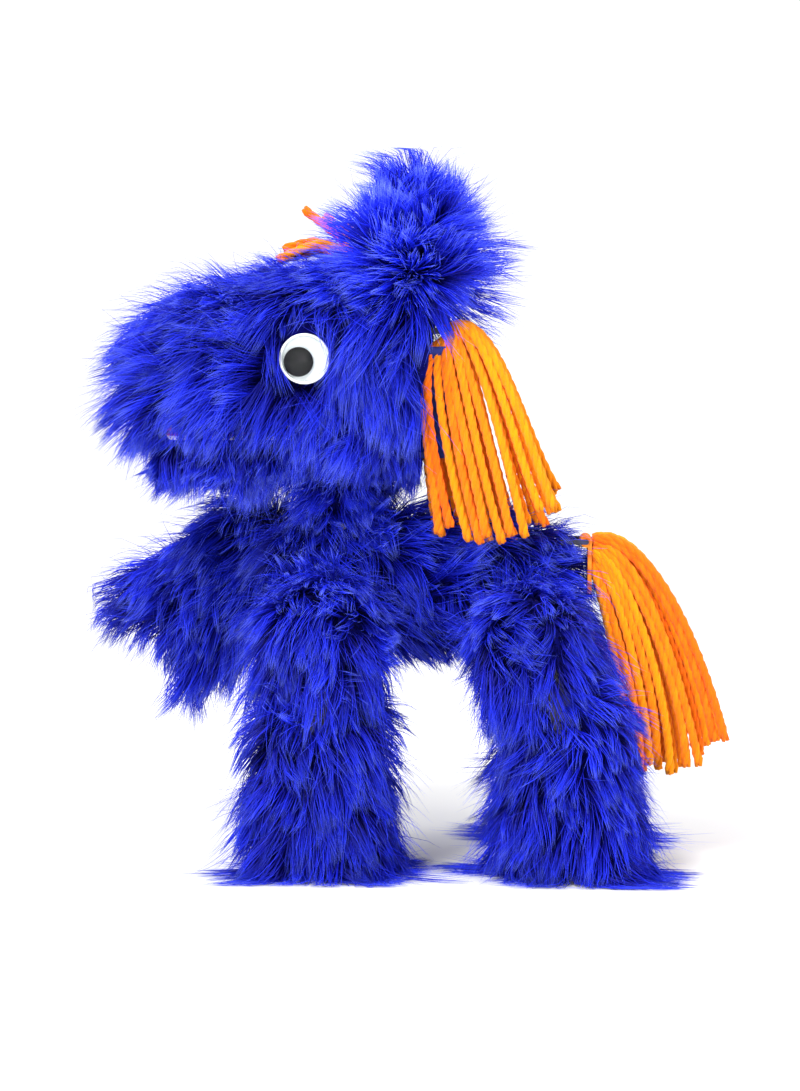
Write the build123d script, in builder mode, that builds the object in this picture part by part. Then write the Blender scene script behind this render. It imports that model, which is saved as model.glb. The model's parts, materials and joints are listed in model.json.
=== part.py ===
from build123d import *
from math import cos, radians, sin
import os

# A four-legged fur puppet whose mouth is worked by a hand inside its head. Its legs, neck, head and
# jaw turn on cords and pins inside foam cores, and each core wears a fur cover. Millimetres.
# +Z is up, the muzzle points to -X and the animal's left side is -Y. The origin is on the floor.

pile = 5.0                 # cover cloth with the dense foot of its pile
gap = 0.4                  # room between parts that move past each other
cord_radius = 1.5          # cords that the legs, knees and neck turn on
cord_fit = 0.05            # running room around such a cord

torso_half = 24.3          # half the torso's thickness across Y
leg_half = 26.0            # half a leg's thickness across Y
leg_y = torso_half + 0.5 + leg_half
leg_radius = 30.0          # half a leg's width, and the round at its pivots
foot_half = 37.0           # half a foot's width at the sole
foot_height = 20.0
upper_length = 50.0        # shoulder or hip to knee
lower_length = 68.0        # knee to sole
hind_tilt = -22.0          # degrees the thigh leans back from upright
raised_upper = 130.0       # degrees the raised foreleg is swung forward
raised_knee = -78.0        # degrees its knee is bent back
fore_knee_range = (-82.0, 0.0)
hind_knee_range = (-24.0, 30.0)

shoulder_x = -39.0
shoulder_z = upper_length + lower_length
hip_x = 66.0
hip_z = upper_length * cos(radians(hind_tilt)) + lower_length

neck_x = -30.0             # the nod axis and the swivel peg both pass through the neck's middle
nod_z = 170.0
neck_radius = 20.0
neck_half = 18.8
neck_top = 197.5
nod_up, nod_down = 15.0, 8.0

head_half = 48.0
mouth_z = 218.0            # the closed mouth's line, at the height of its hinge
hinge_x = -53.0
board = 2.0                # mouth boards
felt = 1.8                 # their facings
knuckle_radius = 4.0
wire_radius = 1.2
pocket_half = 38.0         # half width of the hand cavity in the foam
lining = 1.5
thumb_half = 14.0

eye_x, eye_z = -47.0, 254.0
eye_radius = 12.5
pupil_radius = 7.25
pupil_offset = (-3.06, -1.5)

tail_pin = (92.0, 162.0)
mane_pin = (22.0, 268.0)
loop_radius = 1.2

os.makedirs("parts", exist_ok=True)


def save(part, label):
    """Name a finished piece and write it to its own file."""
    part.label = label
    export_step(part, f"parts/{label}.step")


def side_plane(x, z, y=0.0, swing=0.0):
    """A plane seen from the animal's left, its own -y pointing down a leg swung forward by swing."""
    turn = radians(swing)
    return Plane(origin=(x, y, z), x_dir=(cos(turn), 0, -sin(turn)), z_dir=(0, -1, 0))


def round_sides(radius):
    """Round the rims of the two flat sides of the part being built."""
    fillet([edge for side in faces().filter_by(Axis.Y) for edge in side.edges()], radius=radius)


def pin(plane, radius, half, mode=Mode.ADD):
    """A straight cord or bore along Y, through the plane's origin."""
    with BuildSketch(plane) as ring:
        Circle(radius)
    extrude(ring.sketch, amount=half, both=True, mode=mode)


# Torso: a flat-sided bean with a saddle in its back for the round foot of the neck.
def torso_outline(inset):
    """The torso's side view, drawn in by inset."""
    Polygon(
        (-70, 116), (-72, 158), (-58, 180), (6, 178), (75, 168), (87, 154), (86, 116), (66, 105),
        (-52, 103), align=None,
    )
    fillet(vertices(), radius=11)
    if inset:
        offset(amount=-inset, mode=Mode.REPLACE)


def neck_outline(inset):
    """The neck's side view about the nod axis: a round foot and a straight stem."""
    Circle(neck_radius - inset)
    with Locations((0, (neck_top - nod_z) / 2 - inset / 2)):
        Rectangle(2 * (neck_radius - inset), neck_top - nod_z - inset)


def neck_saddle():
    """The room that the neck sweeps as it nods."""
    Circle(neck_radius + gap)
    stem = neck_top - nod_z + 20
    for lean in (-nod_down, nod_up):
        with Locations(Rot(0, 0, -lean) * Pos(0, stem / 2)):
            Rectangle(2 * (neck_radius + gap), stem)


nod_plane = side_plane(neck_x, nod_z)
shoulder_plane = side_plane(shoulder_x, shoulder_z)
hip_plane = side_plane(hip_x, hip_z)


def thread_loop(x, z, reach, half):
    """A stiff thread loop: a pin along Y between two arms that are stitched into a cover."""
    with BuildPart() as loop:
        pin(side_plane(x, z), loop_radius, half)
        with BuildSketch(Plane.XZ):
            with Locations((x - reach / 2, z)):
                Rectangle(reach, 2 * loop_radius)
        extrude(amount=half, both=True)
        with BuildSketch(Plane.XZ):
            with Locations((x - reach / 2, z)):
                Rectangle(reach + 8, 6)
        extrude(amount=half - 3, both=True, mode=Mode.SUBTRACT)
        pin(side_plane(x, z), loop_radius, half)
    return loop.part


tail_loop = thread_loop(*tail_pin, 13.0, 16.0)
save(tail_loop, "tail_loop")

with BuildPart() as torso_fur:
    with BuildSketch(Plane.XZ):
        torso_outline(0)
    extrude(amount=torso_half, both=True)
    round_sides(9)
    with BuildSketch(Plane.XZ):
        torso_outline(pile)
    extrude(amount=torso_half - pile, both=True, mode=Mode.SUBTRACT)
    with BuildSketch(nod_plane):
        neck_saddle()
    extrude(amount=torso_half - pile, both=True, mode=Mode.SUBTRACT)
    pin(nod_plane, cord_radius, torso_half - 1, Mode.SUBTRACT)
    pin(shoulder_plane, cord_radius, torso_half, Mode.SUBTRACT)
    pin(hip_plane, cord_radius, torso_half, Mode.SUBTRACT)
    add(tail_loop, mode=Mode.SUBTRACT)
save(torso_fur.part, "torso_fur")

with BuildPart() as torso_foam:
    with BuildSketch(Plane.XZ):
        torso_outline(pile)
    extrude(amount=torso_half - pile, both=True)
    with BuildSketch(nod_plane):
        neck_saddle()
    extrude(amount=torso_half, both=True, mode=Mode.SUBTRACT)
    pin(shoulder_plane, cord_radius, torso_half, Mode.SUBTRACT)
    pin(hip_plane, cord_radius, torso_half, Mode.SUBTRACT)
    add(tail_loop, mode=Mode.SUBTRACT)
save(torso_foam.part, "torso_foam")

# Leg cords run right through the torso, and a button on each end keeps the legs on.
button_radius = 9.0
button_thickness = 3.0
button_seat = leg_y + 20.2   # how far out the bottoms of their recesses lie
button_y = button_seat + 0.3

for name, plane in (("shoulder", shoulder_plane), ("hip", hip_plane)):
    with BuildPart() as leg_cord:
        pin(plane, cord_radius, button_y + button_thickness)
    save(leg_cord.part, f"{name}_cord")
    with BuildPart() as buttons:
        pin(plane, button_radius, button_y + button_thickness)
        pin(plane, button_radius, button_y, Mode.SUBTRACT)
        pin(plane, cord_radius, button_y + button_thickness, Mode.SUBTRACT)
    save(buttons.part, f"{name}_buttons")

with BuildPart() as neck_cord:
    pin(nod_plane, cord_radius, torso_half - 1)
save(neck_cord.part, "neck_cord")

# Neck: nods on its cord in the torso's saddle, and carries the swivel peg for the head.
peg_radius = 4.0
peg_flange = 9.0
peg_depth = 18.0           # below the top of the neck
floor_top = 206.5
peg_plane = Plane.XY.offset(neck_top - peg_depth)

with BuildPart() as swivel_peg:
    with BuildSketch(peg_plane):
        with Locations((neck_x, 0)):
            Circle(peg_radius)
    extrude(amount=floor_top + lining + 0.3 - neck_top + peg_depth)
    with BuildSketch(Plane.XY.offset(floor_top + 0.3)):
        with Locations((neck_x, 0)):
            Circle(peg_flange)
    extrude(amount=lining)
save(swivel_peg.part, "swivel_peg")

with BuildPart() as neck_fur:
    with BuildSketch(nod_plane):
        neck_outline(0)
    extrude(amount=neck_half, both=True)
    with BuildSketch(nod_plane):
        neck_outline(pile)
    extrude(amount=neck_half - pile, both=True, mode=Mode.SUBTRACT)
    pin(nod_plane, cord_radius + cord_fit, neck_half, Mode.SUBTRACT)
    add(swivel_peg.part, mode=Mode.SUBTRACT)
save(neck_fur.part, "neck_fur")

with BuildPart() as neck_foam:
    with BuildSketch(nod_plane):
        neck_outline(pile)
    extrude(amount=neck_half - pile, both=True)
    pin(nod_plane, cord_radius + cord_fit, neck_half, Mode.SUBTRACT)
    add(swivel_peg.part, mode=Mode.SUBTRACT)
save(neck_foam.part, "neck_foam")


# Head and jaw are cut from one rounded block along the mouth.
def head_block(inset):
    """The whole head with its jaw, drawn in by inset on every side."""
    with BuildPart() as block:
        with BuildSketch(Plane.XZ):
            Polygon(
                (-110, 198), (-134, 230), (-120, 277), (-60, 296), (0, 300), (18, 270), (18, 212),
                (4, 198), align=None,
            )
            fillet(vertices(), radius=12)
            if inset:
                offset(amount=-inset, mode=Mode.REPLACE)
        extrude(amount=head_half - inset, both=True)
        round_sides(11 - inset)
    return block.part


def side_cut(*points, half=80.0, mode=Mode.SUBTRACT):
    """Cut, or keep, a side-view polygon right across the part being built."""
    with BuildSketch(Plane.XZ) as view:
        Polygon(*points, align=None)
    extrude(view.sketch, amount=half, both=True, mode=mode)


def hand_room(draw_in, back):
    """The hand cavity's side view: fingers above the mouth boards, palm behind them."""
    low, step, high = floor_top - lining, mouth_z + knuckle_radius + 0.2, 260.0
    rear_wall = hinge_x + 6.6
    return (
        (back, low + draw_in), (back, high - draw_in), (-112 + draw_in, high - draw_in),
        (-112 + draw_in, step + draw_in), (rear_wall + draw_in, step + draw_in),
        (rear_wall + draw_in, low + draw_in),
    )


head_outer = head_block(0)
head_inner = head_block(pile)
board_block = head_block(pile + 0.2)
lip_top = mouth_z + 0.2
lip_low = mouth_z - 0.2
board_top = mouth_z + knuckle_radius
board_low = mouth_z - knuckle_radius
gullet_x = hinge_x + 7
mane_loop = thread_loop(*mane_pin, 10.0, 30.0)
save(mane_loop, "mane_loop")


def swivel_bore():
    """The running hole in the head's floor for the swivel peg."""
    with BuildSketch(Plane.XY.offset(190)) as bore:
        with Locations((neck_x, 0)):
            Circle(peg_radius + cord_fit)
    extrude(bore.sketch, amount=30, mode=Mode.SUBTRACT)


with BuildPart() as head_fur:
    add(head_outer)
    add(head_inner, mode=Mode.SUBTRACT)
    side_cut((-150, lip_top), (gullet_x, lip_top), (gullet_x, 180), (-150, 180))
    side_cut(*hand_room(0, 60), half=pocket_half)
    swivel_bore()
    add(mane_loop, mode=Mode.SUBTRACT)
save(head_fur.part, "head_fur")

with BuildPart() as head_foam:
    add(head_inner)
    side_cut((-150, board_top), (gullet_x, board_top), (gullet_x, 180), (-150, 180))
    side_cut(*hand_room(0, 60), half=pocket_half)
    swivel_bore()
    add(mane_loop, mode=Mode.SUBTRACT)
save(head_foam.part, "head_foam")

with BuildPart() as hand_sleeve:
    side_cut(*hand_room(0, mane_pin[0]), half=pocket_half, mode=Mode.ADD)
    side_cut(*hand_room(lining, 60), half=pocket_half - lining)
    with BuildSketch(Plane.XZ):
        with Locations((gullet_x - 1, (floor_top + board_low) / 2)):
            Rectangle(12, board_low - floor_top)
    extrude(amount=18, both=True, mode=Mode.SUBTRACT)
    swivel_bore()
save(hand_sleeve.part, "hand_sleeve")

# Mouth: two boards hinged on a wire at their back edges, each faced with felt.
hinge_plane = side_plane(hinge_x, mouth_z)
knuckle_split = 14.0
board_half = 36.0


def mouth_layer(low, thickness, back):
    """Keep one flat layer of the part being built, from its front to back."""
    high = low + thickness
    side_cut((-150, low), (back, low), (back, high), (-150, high), mode=Mode.INTERSECT)


def mouth_board(low):
    """A board cut to the inside of the head's cover, ending over the hinge."""
    add(board_block)
    mouth_layer(low, board, hinge_x)


with BuildPart() as palate_board:
    mouth_board(board_top - board)
    pin(hinge_plane, knuckle_radius, board_half)
    pin(hinge_plane, knuckle_radius + gap, knuckle_split, Mode.SUBTRACT)
    pin(hinge_plane, wire_radius, board_half, Mode.SUBTRACT)
save(palate_board.part, "palate_board")

with BuildPart() as clear_ends:
    pin(hinge_plane, knuckle_radius + gap, head_half)
    pin(hinge_plane, knuckle_radius + gap, knuckle_split - gap, Mode.SUBTRACT)

with BuildPart() as tongue_board:
    mouth_board(board_low)
    add(clear_ends.part, mode=Mode.SUBTRACT)
    pin(hinge_plane, knuckle_radius, knuckle_split - gap)
    pin(hinge_plane, wire_radius + cord_fit, board_half, Mode.SUBTRACT)
save(tongue_board.part, "tongue_board")

with BuildPart() as mouth_wire:
    pin(hinge_plane, wire_radius, board_half)
save(mouth_wire.part, "mouth_wire")

for name, low in (("palate_felt", lip_top), ("tongue_felt", lip_low - felt)):
    with BuildPart() as facing:
        add(board_block)
        mouth_layer(low, felt, hinge_x - 5)
    save(facing.part, name)

jaw_back = hinge_x - 7


def jaw_region(top):
    """The jaw's side view, its lower back corner cut away from the neck."""
    side_cut(
        (-150, top), (jaw_back, top), (jaw_back, 210.5), (jaw_back - 16, 196), (-150, 180),
        mode=Mode.INTERSECT,
    )


with BuildPart() as jaw_fur:
    add(head_outer)
    add(head_inner, mode=Mode.SUBTRACT)
    jaw_region(lip_low)
save(jaw_fur.part, "jaw_fur")

with BuildPart() as jaw_foam:
    add(head_inner)
    jaw_region(board_low)
    side_cut((-114, 180), (hinge_x, 180), (hinge_x, board_low), (-114, board_low), half=thumb_half)
save(jaw_foam.part, "jaw_foam")

# Wiggle eyes: a rimmed white back, a loose black disc and a clear dome.
rim = 1.2
eye_depth = 3.8


def eye_plane(side, lift):
    """A plane parallel to the head's side, lift out from it, at the middle of an eye."""
    return Plane(origin=(eye_x, side * (head_half + lift), eye_z), x_dir=(1, 0, 0), z_dir=(0, side, 0))


for name, side in (("left", -1), ("right", 1)):
    with BuildPart() as eye_back:
        with BuildSketch(eye_plane(side, 0.2)):
            Circle(eye_radius)
        extrude(amount=eye_depth)
        with BuildSketch(eye_plane(side, 0.2 + rim)):
            Circle(eye_radius - rim)
        extrude(amount=eye_depth, mode=Mode.SUBTRACT)
    save(eye_back.part, f"{name}_eye_back")

    with BuildPart() as eye_dome:
        for shrink, mode in ((0.0, Mode.ADD), (0.8, Mode.SUBTRACT)):
            with BuildSketch(eye_plane(side, 0.2 + eye_depth)):
                Circle(eye_radius - shrink)
            extrude(amount=2.6 - shrink, taper=24, mode=mode)
    save(eye_dome.part, f"{name}_eye_dome")

    with BuildPart() as pupil:
        with BuildSketch(eye_plane(side, 0.2 + rim + 0.8)):
            with Locations((pupil_offset[0], -side * pupil_offset[1])):
                Circle(pupil_radius)
        extrude(amount=0.8)
    save(pupil.part, f"{name}_pupil")

# Ears and forelock stand on the crown of the head.
for name, side in (("left", -1), ("right", 1)):
    with BuildPart() as ear:
        with BuildSketch(Plane.XZ.offset(-side * 31)):
            with Locations((4, 302)):
                Circle(22)
            with Locations((6, 328)):
                Circle(10)
            make_hull()
        extrude(amount=11, both=True)
        round_sides(6)
        add(head_outer, mode=Mode.SUBTRACT)
    save(ear.part, f"{name}_ear")

with BuildPart() as forelock_yarn:
    side_cut(
        (-24, 290), (-24, 311), (-44, 320), (-62, 314), (-67, 303), (-56, 288), half=14, mode=Mode.ADD
    )
    add(head_outer, mode=Mode.SUBTRACT)
save(forelock_yarn.part, "forelock_yarn")


# Mane and tail: yarn stitched to a binding that turns on a thread loop.
def binding(x, z, drop, half, out):
    """A folded tape: a tube on the loop's pin and a flap below it."""
    near, far = x + out, x + out + 2
    pin(side_plane(x, z), 3, half)
    side_cut((near, z), (far, z), (far, z - drop), (near, z - drop), half=half, mode=Mode.ADD)
    pin(side_plane(x, z), loop_radius + cord_fit, half, Mode.SUBTRACT)


with BuildPart() as mane_binding:
    binding(*mane_pin, 32, 26.5, 0.7)
save(mane_binding.part, "mane_binding")

with BuildPart() as mane_yarn:
    with BuildSketch(Plane.XZ):
        with BuildLine():
            outer = Spline((29, 272), (44, 257), (56, 231), (67, 202), (74, 179))
            Polyline(outer @ 1, (66, 169), (30, 167), (25.2, 215), (25.2, 266), outer @ 0)
        make_face()
    extrude(amount=34, both=True)
    side_cut((0, 184), (100, 184), (100, 150), (0, 150), half=26)
save(mane_yarn.part, "mane_yarn")

with BuildPart() as tail_binding:
    binding(*tail_pin, 26, 12.5, 0.7)
save(tail_binding.part, "tail_binding")

with BuildPart() as tail_yarn:
    with BuildSketch(Plane.XZ):
        with BuildLine():
            outer = Spline((99, 165), (114, 156), (129, 139), (143, 108), (154, 62))
            Polyline(outer @ 1, (147, 49), (112, 45))
            inner = Spline((112, 45), (106, 90), (97, 134))
            Polyline(inner @ 1, (95.2, 160), outer @ 0)
        make_face()
    extrude(amount=20, both=True)
save(tail_yarn.part, "tail_yarn")


# Legs: two lengths each, joined by a knee cord between webbing tabs.
def upper_outline(inset):
    """An upper leg's side view: a round at the pivot and one at the knee, joined straight."""
    Circle(leg_radius - inset)
    with Locations((0, -upper_length)):
        Circle(leg_radius - inset)
    make_hull()


def lower_outline(inset):
    """A lower leg's side view: a round at the knee running out to the wider foot."""
    Circle(leg_radius - inset)
    with Locations((0, foot_height / 2 - lower_length)):
        RectangleRounded(2 * (foot_half - inset), foot_height - 2 * inset, 9 - inset)
    make_hull()


def knee_room(upper, knee_range):
    """Clear the lower end of an upper leg for the lower leg's whole travel."""
    knee = upper * Pos(0, -upper_length)
    with BuildSketch(knee) as room:
        Circle(leg_radius + gap)
        with Locations((0, -14)):
            Rectangle(100, 52)
    extrude(room.sketch, amount=leg_half + 1, both=True, mode=Mode.SUBTRACT)
    for bend in knee_range:
        with BuildSketch(knee * Rot(0, 0, -bend)) as bent:
            lower_outline(-gap)
        extrude(bent.sketch, amount=leg_half + 1, both=True, mode=Mode.SUBTRACT)


tab_inner, tab_outer = 22.4, 24.4    # from the middle of the leg, across it
tab_reach = 38.0


def knee_tabs(knee, mode=Mode.ADD):
    """The two webbing tabs that hang the knee cord from the upper leg."""
    for low, high in ((tab_inner, tab_outer), (-tab_outer, -tab_inner)):
        with BuildSketch(knee.offset(low)) as tab:
            Circle(6)
            with Locations((0, tab_reach / 2)):
                Rectangle(12, tab_reach)
        extrude(tab.sketch, amount=high - low, mode=mode)


def leg(name, x, z, side, swing, bend, knee_range):
    """One leg on its shoulder or hip cord, swung forward by swing with its knee bent by bend."""
    upper = side_plane(x, z, side * leg_y, swing)
    turn = radians(swing)
    knee_x, knee_z = x - upper_length * sin(turn), z - upper_length * cos(turn)
    knee = side_plane(knee_x, knee_z, side * leg_y, swing)
    lower = side_plane(knee_x, knee_z, side * leg_y, swing + bend)
    outward = -side
    seat = upper.offset(outward * (button_seat - leg_y))

    for inset, cover in ((0, True), (pile, False)):
        with BuildPart() as upper_piece:
            with BuildSketch(upper):
                upper_outline(inset)
            extrude(amount=leg_half - inset, both=True)
            if cover:
                round_sides(9)
                with BuildSketch(upper):
                    upper_outline(pile)
                extrude(amount=leg_half - pile, both=True, mode=Mode.SUBTRACT)
            with BuildSketch(seat):
                Circle(button_radius + 0.6)
            extrude(amount=outward * 20, mode=Mode.SUBTRACT)
            pin(upper, cord_radius + cord_fit, leg_half, Mode.SUBTRACT)
            knee_room(upper, knee_range)
            knee_tabs(knee, Mode.SUBTRACT)
        save(upper_piece.part, f"{name}_upper_{'fur' if cover else 'foam'}")

    with BuildPart() as knee_link:
        pin(knee, cord_radius, tab_outer)
        knee_tabs(knee)
    save(knee_link.part, f"{name}_knee_link")

    with BuildPart() as pellet_bag:
        with BuildSketch(lower):
            with Locations((0, 16 - lower_length)):
                RectangleRounded(46, 16, 5)
        extrude(amount=15, both=True)
    save(pellet_bag.part, f"{name}_pellet_bag")

    for inset, cover in ((0, True), (pile, False)):
        with BuildPart() as lower_piece:
            with BuildSketch(lower):
                lower_outline(inset)
            extrude(amount=leg_half - inset, both=True)
            if cover:
                round_sides(9)
                with BuildSketch(lower):
                    lower_outline(pile)
                extrude(amount=leg_half - pile, both=True, mode=Mode.SUBTRACT)
                for face_side in (1, -1):
                    with BuildSketch(lower.offset(face_side * (tab_inner - gap))):
                        Circle(leg_radius + 0.5)
                    extrude(amount=face_side * 10, mode=Mode.SUBTRACT)
            else:
                add(pellet_bag.part, mode=Mode.SUBTRACT)
            pin(lower, cord_radius + cord_fit, leg_half, Mode.SUBTRACT)
        save(lower_piece.part, f"{name}_lower_{'fur' if cover else 'foam'}")


leg("left_fore", shoulder_x, shoulder_z, -1, 0, 0, fore_knee_range)
leg("right_fore", shoulder_x, shoulder_z, 1, raised_upper, raised_knee, fore_knee_range)
leg("left_hind", hip_x, hip_z, -1, hind_tilt, -hind_tilt, hind_knee_range)
leg("right_hind", hip_x, hip_z, 1, hind_tilt, -hind_tilt, hind_knee_range)
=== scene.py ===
import json
import math

import bpy
import numpy as np
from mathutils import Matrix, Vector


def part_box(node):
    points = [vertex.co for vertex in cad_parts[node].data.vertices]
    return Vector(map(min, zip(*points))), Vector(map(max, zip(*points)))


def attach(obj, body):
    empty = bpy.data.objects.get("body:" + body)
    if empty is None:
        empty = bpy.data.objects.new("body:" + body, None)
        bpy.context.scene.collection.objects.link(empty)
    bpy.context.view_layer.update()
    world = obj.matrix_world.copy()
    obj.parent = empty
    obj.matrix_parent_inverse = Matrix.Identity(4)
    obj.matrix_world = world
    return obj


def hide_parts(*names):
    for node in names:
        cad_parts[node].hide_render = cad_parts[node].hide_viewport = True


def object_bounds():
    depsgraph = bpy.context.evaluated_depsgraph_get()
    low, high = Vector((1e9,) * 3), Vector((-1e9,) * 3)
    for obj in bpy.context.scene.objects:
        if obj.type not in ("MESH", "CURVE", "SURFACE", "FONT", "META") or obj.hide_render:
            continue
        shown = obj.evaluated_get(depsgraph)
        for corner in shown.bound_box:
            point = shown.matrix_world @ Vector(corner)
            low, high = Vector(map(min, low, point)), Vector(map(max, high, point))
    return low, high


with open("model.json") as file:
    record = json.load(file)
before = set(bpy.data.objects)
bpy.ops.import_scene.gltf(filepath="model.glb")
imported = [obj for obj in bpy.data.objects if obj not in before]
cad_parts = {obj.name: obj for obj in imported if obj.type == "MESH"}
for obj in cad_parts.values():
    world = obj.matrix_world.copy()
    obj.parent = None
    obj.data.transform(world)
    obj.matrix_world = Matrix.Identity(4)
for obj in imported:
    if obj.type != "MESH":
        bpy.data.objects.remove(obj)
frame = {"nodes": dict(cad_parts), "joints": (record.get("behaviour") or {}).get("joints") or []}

cad_low, cad_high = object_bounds()
joint_at = {j["name"]: np.array(j["pos_m"]) * 1000 for j in frame["joints"]}


# ---- Cords, peg, buttons and boards -------------------------------------------------------------
# The working parts under the fur: waxed cords and webbing in the joints, a moulded nylon peg and
# buttons, stiff plastic mouth boards on a steel wire, and calico pellet bags in the feet.
# They are bought or cut pieces, and keep their exact shapes.
def linear(code):
    """An sRGB hex colour as linear RGBA: the standard curve, channel by channel."""
    channels = [int(code[i:i + 2], 16) / 255 for i in (1, 3, 5)]
    return tuple(c / 12.92 if c <= 0.04045 else ((c + 0.055) / 1.055) ** 2.4 for c in channels) + (1.0,)


def add_node(tree, kind, links=(), values=(), **settings):
    """Add one node with its settings, its inputs' plain values and the sockets linked into it."""
    node = tree.nodes.new(kind)
    for key, value in settings.items():
        setattr(node, key, value)
    for key, value in dict(values).items():
        node.inputs[key].default_value = value
    for key, socket in dict(links).items():
        tree.links.new(socket, node.inputs[key])
    return node


def new_finish(name, **constants):
    """A material with one Principled shader, whose even qualities are set on its own sockets."""
    finish = bpy.data.materials.new(name)
    finish.use_nodes = True
    shader = finish.node_tree.nodes["Principled BSDF"]
    for key, value in constants.items():
        shader.inputs[key.replace("_", " ")].default_value = value
    return finish, finish.node_tree, shader


def blended(tree, shader, factor, dark, light, low=0.0, high=1.0):
    """Colour a shader between two hex colours by a factor socket, through a ramp."""
    ramp = add_node(tree, "ShaderNodeValToRGB", {"Fac": factor})
    ramp.color_ramp.elements[0].position, ramp.color_ramp.elements[0].color = low, linear(dark)
    ramp.color_ramp.elements[1].position, ramp.color_ramp.elements[1].color = high, linear(light)
    tree.links.new(ramp.outputs["Color"], shader.inputs["Base Color"])


def grained(name, dark, light, pitch_mm, depth_mm, stretch=(1, 1, 1), **constants):
    """A finish mottled by noise whose grain is pitch_mm wide, which also raises it by depth_mm."""
    finish, tree, shader = new_finish(name, **constants)
    place = add_node(tree, "ShaderNodeTexCoord").outputs["Object"]
    scaled = add_node(tree, "ShaderNodeMapping", {"Vector": place}, {"Scale": stretch})
    noise = add_node(
        tree, "ShaderNodeTexNoise", {"Vector": scaled.outputs["Vector"]},
        {"Scale": 1000 / pitch_mm / 2, "Detail": 4.0, "Roughness": 0.6},
    )
    blended(tree, shader, noise.outputs["Fac"], dark, light, 0.3, 0.7)
    bump = add_node(
        tree, "ShaderNodeBump", {"Height": noise.outputs["Fac"]},
        {"Distance": depth_mm / 1000, "Strength": 0.6},
    )
    tree.links.new(bump.outputs["Normal"], shader.inputs["Normal"])
    return finish


def woven(name, dark, light, thread_mm, depth_mm, **constants):
    """A plain weave: two crossed sets of ridges, one thread wide, from sine bands along X+Z and Y+Z."""
    finish, tree, shader = new_finish(name, **constants)
    place = add_node(tree, "ShaderNodeTexCoord").outputs["Object"]
    bands = []
    for turn in ((0, math.radians(45), 0), (math.radians(45), 0, math.radians(90))):
        turned = add_node(tree, "ShaderNodeMapping", {"Vector": place}, {"Rotation": turn})
        bands.append(add_node(
            tree, "ShaderNodeTexWave", {"Vector": turned.outputs["Vector"]},
            {"Scale": 1000 / thread_mm / 20, "Distortion": 0.6, "Detail": 1.0},
        ).outputs["Fac"])
    weave = add_node(tree, "ShaderNodeMath", {0: bands[0], 1: bands[1]}, operation="MAXIMUM")
    blended(tree, shader, weave.outputs["Value"], dark, light)
    bump = add_node(
        tree, "ShaderNodeBump", {"Height": weave.outputs["Value"]},
        {"Distance": depth_mm / 1000, "Strength": 0.7},
    )
    tree.links.new(bump.outputs["Normal"], shader.inputs["Normal"])
    return finish


def dress(finish, slot, *names):
    """Give CAD nodes a finish in place of the plain one that they were packed with."""
    for name in names:
        node = frame["nodes"][name]
        node.data.materials.clear()
        node.data.materials.append(finish)


legs = ("left_fore", "right_fore", "left_hind", "right_hind")
waxed_cord = woven("waxed_nylon_webbing", "#07081f", "#171a4a", 0.8, 0.15, Roughness=0.55)
moulded_nylon = grained("moulded_nylon", "#0b0e33", "#141a52", 2.5, 0.02, Roughness=0.42)
stiff_board = grained("pressed_polypropylene", "#cfcabd", "#ddd9cf", 1.2, 0.03, Roughness=0.5)
spring_wire = grained("drawn_spring_wire", "#8b8d90", "#b4b6b9", 0.4, 0.01, Metallic=1.0, Roughness=0.3)
calico = woven("calico_bag", "#b7ad93", "#e3dcc8", 0.7, 0.15, Roughness=0.9)
dress(waxed_cord, "cord", "shoulder_cord", "hip_cord", "neck_cord", "mane_loop", "tail_loop",
      *(f"{leg}_knee_link" for leg in legs))
dress(moulded_nylon, "peg", "swivel_peg", "shoulder_buttons", "hip_buttons")
dress(stiff_board, "board", "palate_board", "tongue_board")
dress(spring_wire, "steel", "mouth_wire")
dress(calico, "pellets", *(f"{leg}_pellet_bag" for leg in legs))


# ---- Mouth lining and hand sleeve ---------------------------------------------------------------
# Red wool-blend felt glued to both boards, and a brushed cotton sleeve for the hand, sewn in at
# the back of the head. Cotton tape, stitched down, carries the yarn of the mane and the tail.
felt = grained("wool_felt", "#7c0d18", "#b3202c", 0.9, 0.35, Roughness=0.95, Sheen_Weight=0.4)
cotton_lining = woven("brushed_cotton_lining", "#0d1148", "#1e2773", 0.6, 0.12, Roughness=0.92)
cotton_tape = woven("cotton_tape", "#c85a06", "#f28a1c", 0.9, 0.2, Roughness=0.85)
dress(felt, "felt", "palate_felt", "tongue_felt")
dress(cotton_lining, "lining", "hand_sleeve")
dress(cotton_tape, "binding", "mane_binding", "tail_binding")


# ---- Torso --------------------------------------------------------------------------------------
# A foam core in a cover of long-pile acrylic fur fabric, sewn inside out and turned. The knitted
# backing shows only between the locks, where its dark navy is painted shade. The pile is combed back along
# the spine and down the sides.
def mesh_piece(name, points, quads, triangles, finish, **attributes):
    """A mesh object from arrays of points in millimetres and corner numbers, with point attributes."""
    mesh = bpy.data.meshes.new(name)
    mesh.vertices.add(len(points))
    mesh.vertices.foreach_set("co", (points / 1000).astype(np.float32).ravel())
    corners = np.concatenate([quads.ravel(), triangles.ravel()]).astype(np.int32)
    starts = np.concatenate([
        np.arange(len(quads)) * 4, quads.size + np.arange(len(triangles)) * 3,
    ]).astype(np.int32)
    mesh.loops.add(len(corners))
    mesh.loops.foreach_set("vertex_index", corners)
    mesh.polygons.add(len(starts))
    mesh.polygons.foreach_set("loop_start", starts)
    mesh.update(calc_edges=True)
    mesh.shade_smooth()
    for key, values in attributes.items():
        layer = mesh.attributes.new(key, "FLOAT", "POINT")
        layer.data.foreach_set("value", values.astype(np.float32).ravel())
    mesh.materials.append(finish)
    piece = bpy.data.objects.new(name, mesh)
    bpy.context.scene.collection.objects.link(piece)
    return piece


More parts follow.
